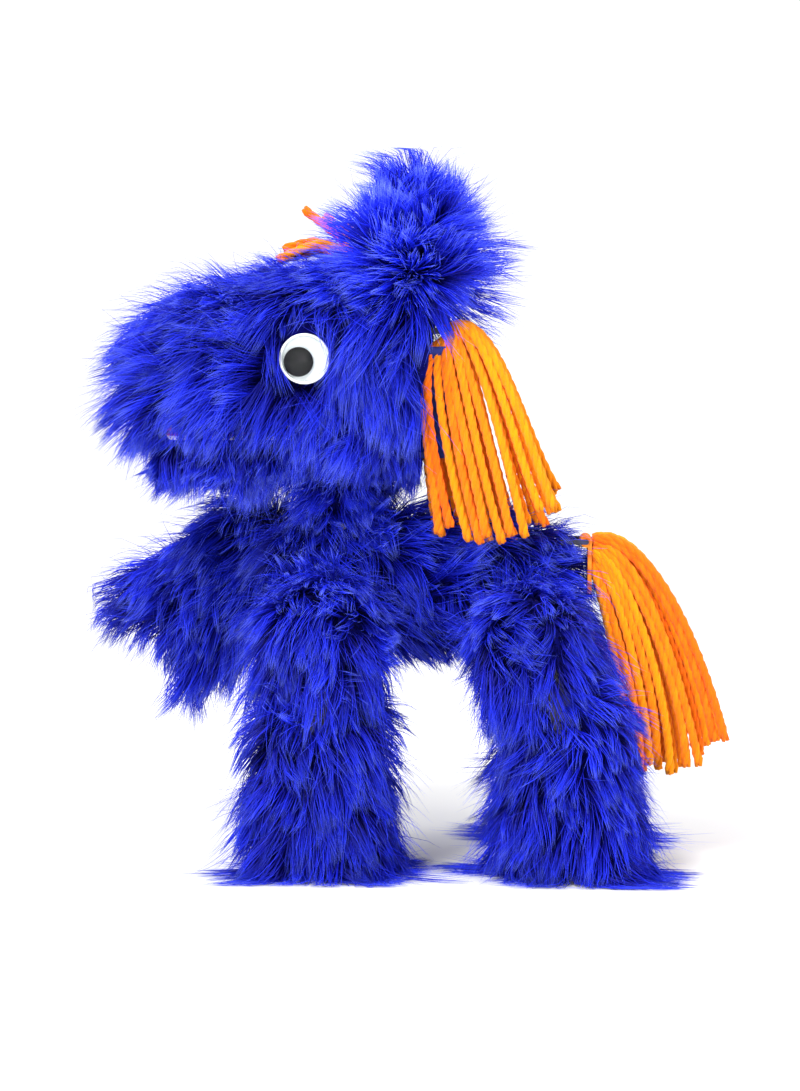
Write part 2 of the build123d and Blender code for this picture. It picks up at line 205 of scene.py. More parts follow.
def swept(centres, side, rise, half_side, half_rise, power, around=72, low_power=None):
    """Superellipse rings |a|^power + |b|^power = 1, with a along side and b along rise, one for
    each centre, as an array of rings by points by XYZ. Where b is negative the power is low_power."""
    turn = np.linspace(0, 2 * np.pi, around, endpoint=False)
    power = np.broadcast_to(power, len(centres))[:, None]
    low_power = power if low_power is None else np.broadcast_to(low_power, len(centres))[:, None]
    power = np.where(np.sin(turn) < 0, low_power, power)
    a = np.sign(np.cos(turn)) * np.abs(np.cos(turn)) ** (2 / power)
    b = np.sign(np.sin(turn)) * np.abs(np.sin(turn)) ** (2 / power)
    return (
        centres[:, None]
        + np.asarray(side) * (half_side[:, None] * a)[..., None]
        + np.asarray(rise) * (half_rise[:, None] * b)[..., None]
    )


def closed_rings(rings):
    """Points, quads and triangles of rings joined in order and closed by a point at each end, with
    faces outwards: a negative volume, by the sum of point-dot-normal, turns them all round."""
    count, around = rings.shape[:2]
    points = np.concatenate([rings.reshape(-1, 3), rings[0].mean(0)[None], rings[-1].mean(0)[None]])
    a = np.arange(count * around).reshape(count, around)
    b = np.roll(a, -1, axis=1)
    quads = np.stack([a[:-1], b[:-1], b[1:], a[1:]], -1).reshape(-1, 4)
    first, last = np.full(around, count * around), np.full(around, count * around + 1)
    triangles = np.concatenate([np.stack([first, b[0], a[0]], -1), np.stack([last, a[-1], b[-1]], -1)])
    fan = np.concatenate([quads[:, :3], quads[:, [0, 2, 3]], triangles])
    p = points[fan] - points.mean(0)
    if np.einsum("ij,ij->i", p[:, 0], np.cross(p[:, 1], p[:, 2])).sum() < 0:
        quads, triangles = quads[:, ::-1], triangles[:, ::-1]
    return points, quads, triangles


def rounded_end(x, end, reach, power=2.4):
    """Rises from 0 at end to 1 at reach from it, as a superellipse's quarter does."""
    t = np.clip(np.abs(x - end) / reach, 0, 1)
    return (1 - (1 - t) ** power) ** (1 / power)


def eased(t):
    """Rises smoothly from 0 to 1 as t does: 3t^2 - 2t^3."""
    t = np.clip(t, 0, 1)
    return t * t * (3 - 2 * t)


def unit(v):
    """Vectors scaled to length one."""
    return v / np.maximum(np.linalg.norm(v, axis=-1, keepdims=True), 1e-9)


# painted shade: the backing is near-black navy so the gaps between the locks read as shadow
backing = grained(
    "knitted_fur_backing_painted_shade", "#03043c", "#080b6e", 1.6, 0.5, Roughness=0.95, Specular_IOR_Level=0.1
)


def make_fibre_finish():
    """Acrylic fibre, with painted shade and painted highlight along each fibre: near-black navy at the
    root as painted shade where the locks shade each other, brighter and paler towards the fine tip as a
    painted highlight; and each lock a little lighter or darker than the next."""
    finish, tree, shader = new_finish("acrylic_pile_fibre_painted_shade_and_highlight", Roughness=0.5, Specular_IOR_Level=0.22)
    along = add_node(tree, "ShaderNodeAttribute", attribute_name="along").outputs["Fac"]
    tone = add_node(tree, "ShaderNodeAttribute", attribute_name="tone").outputs["Fac"]
    # painted shade at the root (near-black navy) and painted highlight at the tip (pale blue), by the along
    # attribute
    ramp = add_node(tree, "ShaderNodeValToRGB", {"Fac": along}).color_ramp
    ramp.elements[0].position, ramp.elements[0].color = 0.0, linear("#020340")
    ramp.elements[1].position, ramp.elements[1].color = 1.0, linear("#6c80ff")
    for position, code in ((0.4, "#0a119c"), (0.75, "#1c2fdc")):
        ramp.elements.new(position).color = linear(code)
    light = add_node(
        tree, "ShaderNodeMapRange", {"Value": tone}, {"To Min": 0.35, "To Max": 1.7}
    )
    shade = add_node(
        tree, "ShaderNodeHueSaturation",
        {"Color": tree.nodes["Color Ramp"].outputs["Color"], "Value": light.outputs["Result"]},
    )
    tree.links.new(shade.outputs["Color"], shader.inputs["Base Color"])
    return finish


fibre = make_fibre_finish()
room = np.array(cad_high - cad_low) * 30 + 9          # how far loose pile may stand out of the CAD box
pile_low, pile_high = np.array(cad_low) * 1000 - room, np.array(cad_high) * 1000 + room
floor_clearance = 0.7
tuft_size, lock_size = 12, 90                         # fibres in a tuft, and in a lock of tufts
lock_hold = 0.32                                      # how far tips are drawn to their lock's middle
stray_share = 0.11


def roots_on(rings, count, chance, rng):
    """Random points on a skin, evenly by area times chance, and the skin's normals there."""
    nexts = np.roll(rings, -1, axis=1)
    edge_a, edge_b = rings[1:] - rings[:-1], nexts[:-1] - rings[:-1]
    area = np.linalg.norm(np.cross(edge_a, edge_b), axis=-1)
    middle = (rings[:-1] + rings[1:] + nexts[:-1] + nexts[1:]) / 4
    weight = (area * chance(middle)).ravel()
    cell = rng.choice(weight.size, count, p=weight / weight.sum())
    row, col = np.divmod(cell, rings.shape[1])
    s, t = rng.random((2, count, 1))
    after = (col + 1) % rings.shape[1]
    points = (
        rings[row, col] * (1 - s) * (1 - t) + rings[row + 1, col] * s * (1 - t)
        + rings[row, after] * (1 - s) * t + rings[row + 1, after] * s * t
    )
    slope = np.gradient(rings, axis=0)
    round_about = np.roll(rings, -1, axis=1) - np.roll(rings, 1, axis=1)
    normals = unit(np.cross(round_about, slope))
    if (normals * (rings - rings.mean((0, 1)))).sum() < 0:
        normals = -normals
    return points, unit(normals[row, col] * (1 - t) + normals[row, after] * t)


def nearest(points, centres):
    """For each point, the number of the nearest centre."""
    found = [
        ((block[:, None] - centres[None]) ** 2).sum(-1).argmin(1)
        for block in np.array_split(points.astype(np.float32), len(points) // 500 + 1)
    ]
    return np.concatenate(found)


def pile(
    name, rings, count, comb, length, body, stands_for, seed, start=58, end=12, gather=0.6,
    droop=0.25, width=0.56, ruffle=0.2, chance=lambda p: np.ones(p.shape[:-1]), clear=None, shade=0.45,
):
    """Long pile on a skin. Each fibre leaves at start degrees from the skin, bends to end degrees
    along the comb direction and droops. Fibres gather into tufts towards their tips, and tufts into
    locks that lean their own ways; one in nine is a fine stray. Each fibre is a closed three-sided
    tube that tapers to a point."""
    rng = np.random.default_rng(seed)
    roots, normals = roots_on(rings, count, chance, rng)
    tuft = nearest(roots, roots[: count // tuft_size])
    lock = nearest(roots, roots[: count // lock_size])

    def spread(by_lock, by_tuft, own):
        """Normal noise shared by a lock, by a tuft, and each fibre's own."""
        return (
            rng.normal(0, by_lock, count // lock_size)[lock]
            + rng.normal(0, by_tuft, count // tuft_size)[tuft] + rng.normal(0, own, count)
        )

    loose = rng.random(count) < stray_share
    flow = comb(roots) + 0.0
    flow = flow - normals * (flow * normals).sum(-1, keepdims=True)
    laid = eased(np.linalg.norm(flow, axis=-1) / 0.7)      # pile combed straight out stands up
    flow = unit(flow)
    across = np.cross(normals, flow)
    swing = np.radians(spread(24, 12, 8) + loose * rng.normal(0, 22, count))[:, None]
    flow, across = (
        flow * np.cos(swing) + across * np.sin(swing), across * np.cos(swing) - flow * np.sin(swing),
    )
    reach = length(roots) * np.clip(1 + spread(ruffle, 0.1, 0.1) + 0.4 * loose, 0.4, 1.7)
    first = start * laid + 82 * (1 - laid)
    first = np.radians(np.clip(first + spread(7, 6, 7) + 10 * loose, 12, 88))
    final = end * laid + 70 * (1 - laid)
    final = np.radians(np.clip(final + spread(8, 8, 7) + 20 * loose, -15, 80))
    curl = spread(0.3, 0.3, 0.2)[:, None]

    steps = 9
    places, here = [roots], roots
    for k in range(steps):
        t = (k + 0.5) / steps
        lean = (first + (final - first) * t)[:, None]
        heading = unit(
            flow * np.cos(lean) + normals * np.sin(lean) + across * curl * t
            + np.array([0, 0, -droop * t * 1.6])
        )
        here = here + heading * (reach / steps)[:, None]
        places.append(here)
    ring_steps = np.array([0, 3, 6, 9])
    path = np.stack(places, 1)[:, ring_steps]
    along = ring_steps / steps
    tightness = np.clip(gather + rng.normal(0, 0.22, count // tuft_size)[tuft], 0.1, 0.85)
    hold = np.where(loose, 0.08, tightness)[:, None, None]
    path = path + (path[tuft] - path) * hold * (along ** 1.2)[None, :, None]
    hold = np.where(loose, 0.0, lock_hold)[:, None, None]
    path = path + (path[lock] - path) * hold * (along ** 1.5)[None, :, None]

    under = np.minimum(path[..., 2] - floor_clearance, 0)
    path[..., :2] += flow[:, None, :2] * -under[..., None] * 0.9
    path[..., 2] = np.maximum(path[..., 2], floor_clearance + rng.random((count, 1)) * 1.2)
    path = np.clip(path, pile_low, pile_high)
    if clear is not None:
        keep = clear(path)
        path, normals, lock, tuft, loose = path[keep], normals[keep], lock[keep], tuft[keep], loose[keep]
        count = len(path)

    heading = unit(np.gradient(path, axis=1))
    side = unit(np.cross(heading, normals[:, None] + 0.01))
    face = np.cross(heading, side)
    thick = (width / 2) * np.array([0.9, 1.0, 0.6])[None] * np.where(loose, 0.55, 1.0)[:, None]
    thick = thick * rng.uniform(0.65, 1.3, (count, 1))
    turn = np.arange(3) * 2 * np.pi / 3
    rims = path[:, :3, None] + thick[..., None, None] * (
        side[:, :3, None] * np.cos(turn)[:, None] + face[:, :3, None] * np.sin(turn)[:, None]
    )
    points = np.concatenate([rims.reshape(count, 9, 3), path[:, 3:]], 1)
    points[..., 2] = np.maximum(points[..., 2], 0.15)
    base = (np.arange(count) * 10)[:, None, None]
    k, i = np.divmod(np.arange(6), 3)
    j = (i + 1) % 3
    quads = (base + np.stack([3 * k + i, 3 * k + j, 3 * k + 3 + j, 3 * k + 3 + i], -1)).reshape(-1, 4)
    triangles = (base + np.array([[6, 7, 9], [7, 8, 9], [8, 6, 9], [2, 1, 0]])).reshape(-1, 3)
    along_points = np.tile(np.repeat(along, (3, 3, 3, 1)), (count, 1))
    tone = np.clip(
        shade + rng.normal(0, 0.08, lock.max() + 1)[lock] + rng.normal(0, 0.11, tuft.max() + 1)[tuft]
        + rng.normal(0, 0.13, count) + 0.22 * loose, 0, 1
    )
    piece = mesh_piece(
        name, points.reshape(-1, 3), quads, triangles, fibre,
        along=along_points, tone=np.repeat(tone, 10),
    )
    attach(piece, body)
    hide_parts(*stands_for)
    return piece


def skin(name, rings, body, stands_for):
    """A stuffed skin of knitted backing, from its rings."""
    piece = mesh_piece(name, *closed_rings(rings), backing)
    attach(piece, body)
    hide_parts(*stands_for)
    return piece


torso_low, torso_high = np.array(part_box("torso_fur")) * 1000
x = np.linspace(torso_low[0] + 6, torso_high[0] - 6, 60)
ends = rounded_end(x, x[0] - 0.5, 24) * rounded_end(x, x[-1] + 0.5, 18)
back = np.interp(x, [-72, -50, 6, 68, 87], [162, 172, 170, 161, 151])
belly = np.interp(x, [-72, -45, 60, 87], [122, 110, 111, 122])
torso_rings = swept(
    np.stack([x, 0 * x, (back + belly) / 2], -1), (0, 1, 0), (0, 0, 1),
    17.5 * ends, (back - belly) / 2 * ends, 2.6,
)


def torso_comb(p):
    """Back along the spine and over the rump, down the sides, forward and down on the chest."""
    chest = eased((-52 - p[:, 0]) / 16)[:, None]
    rump = eased((p[:, 0] - 62) / 16) * eased((p[:, 2] - 138) / 12)
    flow = np.stack([0.8 + 0 * p[:, 0], np.sign(p[:, 1]) * 0.35 * (1 - rump), -0.75 + 0.95 * rump], -1)
    return flow * (1 - chest) + np.array([-0.6, 0, -1.0]) * chest


def torso_length(p):
    """Shorter under the belly than on the back, and longest over the rump."""
    return 18 + 9 * eased((p[:, 2] - 112) / 25) + 6 * eased((p[:, 0] - 62) / 16)


skin("torso_padding", torso_rings, "torso", ["torso_foam"])
pile("torso_pile", torso_rings, 11500, torso_comb, torso_length, "torso", ["torso_fur"], 11)


# ---- Neck ---------------------------------------------------------------------------------------
# A short foam stem in the same fur fabric. It nods in the torso's saddle, and the head turns on it.
nod = joint_at["neck_nod"]
z = np.linspace(-12, 26, 24)
ends = rounded_end(z, -12.5, 8) * rounded_end(z, 26.5, 5)
neck_rings = swept(
    np.stack([0 * z, 0 * z, z], -1) + nod, (1, 0, 0), (0, 1, 0), 16 * ends, 13.5 * ends, 2.6, 48
)
skin("neck_padding", neck_rings, "neck", ["neck_foam"])
pile(
    "neck_pile", neck_rings[5:], 3800, lambda p: unit(p - nod) * [1, 1, 0] * 0.5 + [0, 0, -1],
    lambda p: 22 + 0 * p[:, 0], "neck", ["neck_fur"], 12, start=50,
)


# ---- Head ---------------------------------------------------------------------------------------
# Carved foam round a hand sleeve, in fur fabric. The skin runs in at the back of the head and
# along the sleeve. The pile radiates forward from the eyes on the muzzle and hangs on the cheeks.
head_low, head_high = np.array(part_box("head_fur")) * 1000
sleeve_low, sleeve_high = np.array(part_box("hand_sleeve")) * 1000
hinge = joint_at["jaw_open"]
board_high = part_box("palate_board")[1][2] * 1000
cover_depth = 5.0
front = head_low[0] + 7
rear = head_high[0] - 5

x = np.concatenate([
    front + 26 * (1 - np.cos(np.linspace(0.06, 1.5, 22))), np.linspace(front + 25, rear, 60),
])
grown = rounded_end(x, front - 0.3, 27)
rear_rim = rounded_end(x, rear + 1.5, 16, 2.0)
crown = np.interp(x, [-134, -112, -60, 0, 18], [268, 273, 288, 293, 284])
crown = 242 + (crown - 242) * grown
step = eased((x - hinge[0] - 3.5) / 2.7)
chin = board_high - 1.0 - 17.8 * step
chin = 242 - (242 - chin) * grown ** 0.5
half = (head_high[1] - cover_depth) * rounded_end(x, front - 0.3, 12, 3.5)
turned_in = 3 * (1 - rear_rim)
outer = [x, half - turned_in, (crown - chin) / 2 - turned_in, (crown + chin) / 2, 3.4 + 0 * x]

inner_x = np.linspace(rear + 0.5, sleeve_low[0] - 0.4, 60)
inner_low = board_high + 0.15 - 17.6 * eased((inner_x - hinge[0] - 5.8) / 0.9)
inner_high = sleeve_high[2] + 0.4 + 0 * inner_x
inner_half = sleeve_high[1] + 0.5
inner = [
    inner_x, inner_half + 0 * inner_x, (inner_high - inner_low) / 2, (inner_high + inner_low) / 2,
    14 + 0 * inner_x,
]
x, half_y, half_z, middle, power = (np.concatenate(pair) for pair in zip(outer, inner))
low_power = np.maximum(power, 12 - 8 * eased((x - hinge[0]) / 12) * (x < sleeve_high[0]))
head_rings = swept(
    np.stack([x, 0 * x, middle], -1), (0, 1, 0), (0, 0, 1), half_y, half_z, power, 120, low_power
)
skin("head_padding", head_rings, "head", ["head_foam"])
face_rings = head_rings[: len(outer[0]) - 2]

eye_place = {side: joint_at[f"{side}_pupil_roll"] for side in ("left", "right")}
eye_radius = (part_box("left_eye_back")[1][0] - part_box("left_eye_back")[0][0]) * 500
muzzle_heart = np.array([-82.0, 0, 250.0])


def head_comb(p):
    """Outward from the heart of the muzzle in front, down at the lip, down and a little forward on
    the cheeks, and forward over the crown."""
    outward = unit(p - muzzle_heart) * [1.1, 0.7, 0.8] + np.array([-0.75, 0, -0.1])
    lip = eased((236 - p[:, 2]) / 13)[:, None]
    outward = outward + lip * np.array([0.1, 0, -1.3])
    cheek = np.array([-0.22, 0, -1.0]) + unit(p - [-10, 0, 320]) * [0.4, 0, 0]
    over = np.stack([-1 + 0 * p[:, 0], np.sign(p[:, 1]) * 0.7, 0.1 + 0 * p[:, 0]], -1)
    to_cheek = eased((p[:, 0] + 84) / 34)[:, None]
    top = eased((p[:, 2] - 276) / 12)[:, None]
    flow = outward * (1 - to_cheek) + cheek * to_cheek
    return flow * (1 - top * to_cheek) + over * top * to_cheek


def off_the_eyes(path):
    """True for fibres that stay off both eyes, seen square on, or lie under them."""
    keep = np.ones(len(path), bool)
    for place in eye_place.values():
        off = np.hypot(path[..., 0] - place[0], path[..., 2] - place[2])
        over = (off < eye_radius - 0.3) & (path[..., 1] * np.sign(place[1]) > 30)
        keep &= ~over.any(1)
    return keep


def head_length(p):
    """Longer on the cheeks than on the muzzle; short over the crown and along the lower edge."""
    long = 33 + 3 * eased((p[:, 0] + 75) / 40)
    long = long - 9 * eased((p[:, 2] - 276) / 12) * eased((p[:, 0] + 86) / 20)
    return long * (0.4 + 0.6 * eased((p[:, 2] - head_low[2] - 2) / 36))


parts_of_head = (
    ("muzzle_pile", lambda p: eased((-62 - p[..., 0]) / 4) * eased((p[..., 2] - 221) / 2), 10500, 21),
    ("cheek_pile", lambda p: eased((p[..., 0] + 66) / 4) * eased((284 - p[..., 2]) / 4), 12000, 22),
    ("crown_pile", lambda p: eased((p[..., 0] + 66) / 4) * eased((p[..., 2] - 280) / 4), 6500, 23),
)
pile(
    "lip_pile", face_rings, 3200, lambda p: unit(p - muzzle_heart) * [0.3, 0.2, 0] + [-0.35, 0, -1.0],
    lambda p: 18 + 0 * p[:, 0], "head", [], 24, start=30, end=-6,
    chance=lambda p: eased((hinge[0] - 2 - p[..., 0]) / 4) * (p[..., 2] > 221.6) * (p[..., 2] < 229),
)
for name, chance, count, seed in parts_of_head:
    pile(
        name, face_rings, count, head_comb, head_length, "head", ["head_fur"], seed,
        start=52, end=10, chance=chance, clear=off_the_eyes,
    )


# ---- Lower jaw ----------------------------------------------------------------------------------
# A shallow foam tray under the tongue board, open at the back for the thumb, in the same fur.
jaw_low, jaw_high = np.array(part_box("jaw_fur")) * 1000
tray_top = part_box("tongue_board")[0][2] * 1000 + 0.1
jaw_front, jaw_rear = jaw_low[0] + 6, jaw_high[0] - 1.5
x = np.concatenate([
    jaw_front + 20 * (1 - np.cos(np.linspace(0.06, 1.5, 16))), np.linspace(jaw_front + 20, jaw_rear, 30),
])
grown = rounded_end(x, jaw_front - 0.3, 20)
half = (jaw_high[1] - cover_depth) * rounded_end(x, jaw_front - 0.3, 12, 3.5)
low = jaw_low[2] + 3.2 + 10 * eased((x - jaw_rear + 16) / 17)
low = tray_top - (tray_top - low) * grown ** 0.7
outer = [x, half, (tray_top - low) / 2, (tray_top + low) / 2, 3.2 + 0 * x]
inner_x = np.linspace(jaw_rear + 0.3, -113, 30)
inner_low = jaw_low[2] + 5.3 + 8.6 * eased((inner_x - jaw_rear + 16) / 16)
inner_high = tray_top - 0.5
inner = [
    inner_x, 13.6 + 0 * inner_x, (inner_high - inner_low) / 2, (inner_high + inner_low) / 2,
    9 + 0 * inner_x,
]
x, half_y, half_z, middle, power = (np.concatenate(pair) for pair in zip(outer, inner))
jaw_rings = swept(
    np.stack([x, 0 * x, middle], -1), (0, 1, 0), (0, 0, -1), half_y, half_z, power, 96,
    np.maximum(power, 12),
)
skin("jaw_padding", jaw_rings, "jaw", ["jaw_foam"])
pile(
    "jaw_pile", jaw_rings[: len(outer[0]) - 1], 6500,
    lambda p: unit(p - [-80, 0, 222]) * [0.8, 0.8, 0.4] + [-0.1, 0, -0.8],
    lambda p: 16 + 6 * eased((p[:, 0] + 125) / 20), "jaw", ["jaw_fur"], 31, start=42, end=5,
    chance=lambda p: eased((tray_top - 0.6 - p[..., 2]) / 2),
)


# ---- Ears ---------------------------------------------------------------------------------------
# Two stuffed leaf-shaped flaps of fur fabric sewn to the crown, their pile standing out from the
# root in every direction, and a little brighter than the head's.
for number, side in enumerate(("left", "right")):
    low, high = np.array(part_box(f"{side}_ear")) * 1000
    root_z = 288.0
    z = np.linspace(root_z, high[2] - 5, 40)
    grown = rounded_end(z, high[2] - 4.6, 30, 1.8) * rounded_end(z, root_z - 0.4, 8)
    centre = np.stack([np.interp(z, [288, 333], [3, 7]), 0 * z + (low[1] + high[1]) / 2, z], -1)
    ear_rings = swept(centre, (1, 0, 0), (0, 1, 0), 14 * grown, 5.5 * grown, 2.2, 48)
    skin(f"{side}_ear_padding", ear_rings, "head", [f"{side}_ear"])
    heart = np.array([4, (low[1] + high[1]) / 2, 296])
    pile(
        f"{side}_ear_pile", ear_rings, 5200, lambda p: (p - heart) / 26 + [-0.05, 0, 0.1],
        lambda p: 29 + 7 * eased((318 - p[:, 2]) / 20), "head", [], 41 + number,
        start=46, end=18, gather=0.5, droop=0.2, ruffle=0.24, shade=0.68,
    )


# ---- Legs ---------------------------------------------------------------------------------------
# Each leg is two foam-filled lengths of fur tube, hung from the shoulder or hip cord and joined at
# the knee. The pile is combed down the leg, and splays out over the floor round the sole.
def leg_skin(start, axis, from_mm, to_mm, half_fore, half_side, sole):
    """A flattened tube along an axis, domed at its upper end and domed or flat at its lower one."""
    s = from_mm + (to_mm - from_mm) * (1 - np.cos(np.linspace(0.05, np.pi - 0.05, 44))) / 2
    ends = rounded_end(s, from_mm - 0.2, -from_mm, 2.0)
    ends = ends * rounded_end(s, to_mm + 0.2, 9 if sole else 14, 2.6)
    fore = np.interp(s, [0, to_mm], half_fore) * ends
    across = np.cross(axis, [0, 1, 0])
    side = np.interp(s, [0, to_mm], half_side) * (0.35 + 0.65 * ends) * np.minimum(ends * 4, 1)
    return swept(start + axis * s[:, None], across, (0, 1, 0), fore, side, 2.8, 64)


for number, leg in enumerate(legs):
    top = joint_at[f"{leg}_{'shoulder' if 'fore' in leg else 'hip'}"]
    knee = joint_at[f"{leg}_knee"]
    bag = np.array(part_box(f"{leg}_pellet_bag")).mean(0) * 1000
    upper_axis, lower_axis = unit(knee - top), unit(bag - knee)
    down = np.array([0, 0, -0.25])
    rearward = np.cross(upper_axis, [0, 1, 0])
    trim = 9 if "hind" in leg else 2

    def leg_length(p):
        """Shorter at the back of a hind leg, under the tail, and longer towards the sole."""
        back = eased(((p - knee) @ rearward + 2) / 20)
        return 26 - trim * back + 6 * eased(((p - knee) @ lower_axis - 20) / 40)

    def foot_comb(p):
        """Down the leg, turning outward round the foot."""
        foot = eased(((p - knee) @ lower_axis - 20) / 35)[:, None]
        return lower_axis + unit(p - knee - lower_axis * 45) * (0.25 + 1.1 * foot) + down

    def crest_comb(p):
        """Outward over the crest, then down the leg."""
        crest = eased((-6 - (p - top) @ upper_axis) / 14)[:, None]
        return upper_axis + down + np.array([0, np.sign(top[1]), 0]) * crest * 2.2

    def crest_length(p):
        """Longer at the lower end, where it covers the knee."""
        low = eased(((p - top) @ upper_axis - 4) / 22)
        back = eased(((p - top) @ rearward + 2) / 20)
        return 25 + 9 * low - trim * 0.6 * back

    upper_rings = leg_skin(top, upper_axis, -23, 24, (22.5, 23.5), (24.6, 24.6), False)
    skin(f"{leg}_upper_padding", upper_rings, f"{leg}_upper", [f"{leg}_upper_foam"])
    pile(
        f"{leg}_upper_pile", upper_rings, 5800, crest_comb, crest_length, f"{leg}_upper",
        [f"{leg}_upper_fur"], 51 + number, start=44, end=8,
    )
    lower_rings = leg_skin(knee, lower_axis, -22, 65, (25, 29), (24.6, 24.6), True)
    skin(f"{leg}_lower_padding", lower_rings, f"{leg}_lower", [f"{leg}_lower_foam"])
    pile(
        f"{leg}_lower_pile", lower_rings, 7500, foot_comb, leg_length, f"{leg}_lower",
        [f"{leg}_lower_fur"], 61 + number, start=46, end=12,
    )


# ---- Wiggle eyes --------------------------------------------------------------------------------
# 25 mm glued craft eyes: a white styrene cup with a rolled rim, a loose black disc inside, and a
# clear domed cover pressed into the rim.
def turned(name, radius, height, place, side, finish, around=72):
    """A lathe shape about the Y axis through place, from its profile of radii and heights, with
    height measured outward from the head's side."""
    turn = np.linspace(0, 2 * np.pi, around, endpoint=False)
    radius, height = np.asarray(radius, float), np.asarray(height, float)
    rings = np.stack([
        place[0] + radius[:, None] * np.cos(turn),
        side * height[:, None] + 0 * turn,
        place[2] + radius[:, None] * np.sin(turn),
    ], -1)
    return mesh_piece(name, *closed_rings(rings), finish)


styrene_white = grained("white_styrene", "#e4ebe6", "#f3f6f2", 6.0, 0.01, Roughness=0.22)
styrene_black = grained(
    "black_styrene", "#010102", "#050507", 3.0, 0.01, Roughness=0.5, Specular_IOR_Level=0.2
)
clear_dome, _, clear_shader = new_finish(
    "clear_styrene", Roughness=0.0, Transmission_Weight=1.0, IOR=1.03, Coat_Weight=0.05, Coat_Roughness=0.03
)
clear_shader.inputs["Base Color"].default_value = linear("#fbfdff")

for side, sign in (("left", -1), ("right", 1)):
    low, high = np.array(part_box(f"{side}_eye_back")) * 1000
    inward, outward = sorted((abs(low[1]), abs(high[1])))
    place = eye_place[side]
    bend = np.linspace(0, np.pi, 9)
    rim_radius = (eye_radius + eye_radius - 1.3) / 2 + 0.65 * np.cos(bend)
    rim_height = outward - 0.65 + 0.65 * np.sin(bend)
    cup = turned(
        f"{side}_eye_cup",
        [0.1, eye_radius - 0.8, eye_radius - 0.1, *rim_radius, eye_radius - 1.7, eye_radius - 2.2, 0.1],
        [inward, inward, inward + 0.6, *rim_height, inward + 1.9, inward + 1.2, inward + 1.2],
        place, sign, styrene_white,
    )
    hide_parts(f"{side}_eye_back")
    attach(cup, "head")

    pupil_low, pupil_high = np.array(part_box(f"{side}_pupil")) * 1000
    pupil_radius = (pupil_high[0] - pupil_low[0]) / 2
    middle = (pupil_low + pupil_high) / 2
    under, over = sorted((abs(pupil_low[1]), abs(pupil_high[1])))
    disc = turned(
        f"{side}_pupil_disc",
        [0.1, pupil_radius - 0.2, pupil_radius, pupil_radius - 0.05, pupil_radius - 0.4, 0.1],
        [under, under, under + 0.2, over - 0.15, over, over],
        middle, sign, styrene_black,
    )
    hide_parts(f"{side}_pupil")
    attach(disc, f"{side}_pupil")

    swell = np.linspace(0, 1, 22)
    dome_radius = eye_radius - 1.3
    bulge = 2.6 * np.cos(swell * np.pi / 2)
    dome = turned(
        f"{side}_eye_lens",
        [*(0.1 + dome_radius * swell), *(0.1 + (dome_radius - 0.6) * swell[::-1])],
        [*(outward - 0.5 + bulge), *(outward - 1.0 + bulge[::-1])],
        place, sign, clear_dome,
    )
    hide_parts(f"{side}_eye_dome")
    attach(dome, "head")


# ---- Mane, forelock and tail --------------------------------------------------------------------
# Bulky three-ply acrylic rug yarn, 4.8 mm thick, cut to length. Mane and tail are stitched side by
# side to their tapes and hang loose; the forelock is a short bunch between the ears.
yarn_radius = 2.4
ply_radius = 1.42
ply_pitch = 19.0


def make_yarn_finish():
    """Acrylic rug yarn: orange, with painted highlight and painted shade: paler where the lit fibres stand
    up, redder between them, in fine twisted fibre grain along each ply, which the yarn's own map follows."""
    finish, tree, shader = new_finish(
        "three_ply_rug_yarn", Roughness=0.9, Specular_IOR_Level=0.15, Sheen_Weight=0.08
    )
    tone = add_node(tree, "ShaderNodeAttribute", attribute_name="tone").outputs["Fac"]
    wound = add_node(tree, "ShaderNodeUVMap", uv_map="wound").outputs["UV"]
    slanted = add_node(
        tree, "ShaderNodeMapping", {"Vector": wound}, {"Rotation": (0, 0, 0.5), "Scale": (2.2, 0.28, 1)}
    )
    fibres = add_node(
        tree, "ShaderNodeTexNoise", {"Vector": slanted.outputs["Vector"]},
        {"Scale": 1.6, "Detail": 5.0, "Roughness": 0.7},
    ).outputs["Fac"]
    mixed = add_node(tree, "ShaderNodeMath", {0: fibres, 1: tone}, operation="ADD")
    halved = add_node(tree, "ShaderNodeMath", {0: mixed.outputs["Value"]}, {1: 0.5}, operation="MULTIPLY")
    # painted shade (red-orange) to painted highlight (pale orange), driven by the fibre noise and each
    # yarn's tone
    blended(tree, shader, halved.outputs["Value"], "#f25a00", "#ffa200", 0.32, 0.68)
    bump = add_node(tree, "ShaderNodeBump", {"Height": fibres}, {"Distance": 0.0006, "Strength": 0.8})
    tree.links.new(bump.outputs["Normal"], shader.inputs["Normal"])
    return finish


yarn = make_yarn_finish()


def plied(path, phase, steps=40, sides=7):
    """One yarn along a path: three plies wind round it once every ply_pitch, each a round tube, and
    the plies open a little at the cut end. Gives the rings of each ply, and their winding map."""
    path = np.asarray(path, float)
    knots = np.linspace(0, 1, len(path))
    t = np.linspace(0, 1, steps)
    degree = min(3, len(path) - 1)
    bend = np.stack([np.polyval(np.polyfit(knots, path[:, k], degree), t) for k in range(3)], -1)
    travelled = np.concatenate([[0], np.cumsum(np.linalg.norm(np.diff(bend, axis=0), axis=1))])
    ahead = unit(np.gradient(bend, axis=0))
    side = unit(np.cross(ahead, [0.31, 1.0, 0.17]))
    up = np.cross(ahead, side)
    opened = 1 + 0.5 * eased((t - 0.93) / 0.07)
    turn = np.linspace(0, 2 * np.pi, sides, endpoint=False)
    for ply in range(3):
        angle = phase + 2 * np.pi * (travelled / ply_pitch + ply / 3)
        off = (yarn_radius - ply_radius) * opened
        line = bend + off[:, None] * (side * np.cos(angle)[:, None] + up * np.sin(angle)[:, None])
        run = unit(np.gradient(line, axis=0))
        a = unit(np.cross(run, side + 0.3 * up))
        b = np.cross(run, a)
        size = ply_radius * (1 - 0.35 * eased((t - 0.965) / 0.035))
        rings = line[:, None] + size[:, None, None] * (
            a[:, None] * np.cos(turn)[:, None] + b[:, None] * np.sin(turn)[:, None]
        )
        yield rings, travelled


